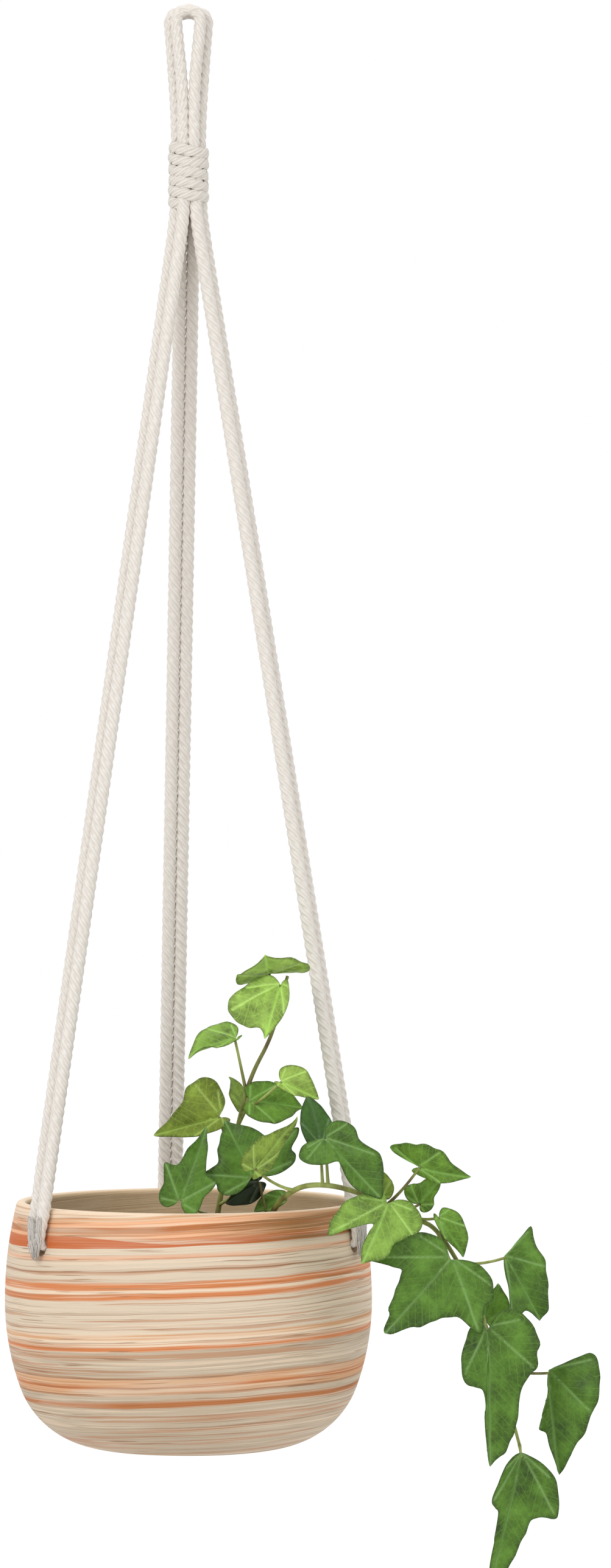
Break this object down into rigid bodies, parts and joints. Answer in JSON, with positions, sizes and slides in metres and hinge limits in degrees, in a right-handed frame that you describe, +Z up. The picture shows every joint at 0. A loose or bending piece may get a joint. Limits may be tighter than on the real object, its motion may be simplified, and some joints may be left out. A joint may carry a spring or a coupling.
{
  "type": "hanging planter",
  "caption": "Round ceramic pot hung from a looped, cord-bound bundle of twisted cotton ropes, with trailing ivy in a lift-out liner.",
  "frame": {"origin": "where a hook touches the inside of the rope loop's top", "axes": "+Z up along the planter's axis, -Y towards the front where the ivy grows, +X to the right"},
  "size_m": [0.316, 0.2254, 0.868],
  "materials": {
    "rope_cotton": "twisted three-strand off-white cotton",
    "wrap_cotton": "tightly wound off-white cotton cord",
    "glazed_pot": "matte cream ceramic with hand-brushed terracotta streaks",
    "liner_plastic": "matte moulded plastic",
    "potting_soil": "crumbly peat mix",
    "ivy_leaf": "waxy green leaf with pale veins",
    "ivy_stem": "smooth green-brown stem"
  },
  "bodies": {
    "loop": {"front_loop_rope": "rope_cotton", "middle_loop_rope": "rope_cotton", "rear_loop_rope": "rope_cotton"},
    "wrap": {"back_bundle_tails": "rope_cotton", "left_bundle_tails": "rope_cotton", "right_bundle_tails": "rope_cotton", "wrap_cord": "wrap_cotton"},
    "pot": {"back_knot": "rope_cotton", "back_leg_rope_1": "rope_cotton", "back_leg_rope_2": "rope_cotton", "left_knot": "rope_cotton", "left_leg_rope_1": "rope_cotton", "left_leg_rope_2": "rope_cotton", "pot": "glazed_pot", "right_knot": "rope_cotton", "right_leg_rope_1": "rope_cotton", "right_leg_rope_2": "rope_cotton"},
    "plant": {"grow_pot": "liner_plastic", "ivy_leaf_01": "ivy_leaf", "ivy_leaf_02": "ivy_leaf", "ivy_leaf_03": "ivy_leaf", "ivy_leaf_04": "ivy_leaf", "ivy_leaf_05": "ivy_leaf", "ivy_leaf_06": "ivy_leaf", "ivy_leaf_07": "ivy_leaf", "ivy_leaf_08": "ivy_leaf", "ivy_leaf_09": "ivy_leaf", "ivy_leaf_10": "ivy_leaf", "ivy_leaf_11": "ivy_leaf", "ivy_leaf_12": "ivy_leaf", "ivy_leaf_13": "ivy_leaf", "ivy_leaf_14": "ivy_leaf", "ivy_leaf_15": "ivy_leaf", "ivy_leaf_16": "ivy_leaf", "ivy_leaf_17": "ivy_leaf", "ivy_leaf_18": "ivy_leaf", "ivy_leaf_19": "ivy_leaf", "ivy_leaf_20": "ivy_leaf", "ivy_leaf_21": "ivy_leaf", "ivy_leaf_22": "ivy_leaf", "ivy_leaf_23": "ivy_leaf", "ivy_leaf_24": "ivy_leaf", "ivy_leaf_25": "ivy_leaf", "soil": "potting_soil", "trailing_stem": "ivy_stem", "upright_stem": "ivy_stem"}
  },
  "joints": [
    {"name": "turn_on_rope", "type": "hinge", "parent": "loop", "child": "wrap", "pos_m": [0, 0, -0.0505], "axis": [0, 0, 1], "range_deg": [-30, 30], "stiffness_Nm_per_rad": 0.05},
    {"name": "swing", "type": "hinge", "parent": "wrap", "child": "pot", "pos_m": [0, 0, -0.1066], "axis": [0, 1, 0], "range_deg": [-12, 12]},
    {"name": "plant_lift", "type": "slide", "parent": "pot", "child": "plant", "axis": [0, 0, 1], "range_m": [0, 0.1]}
  ]
}
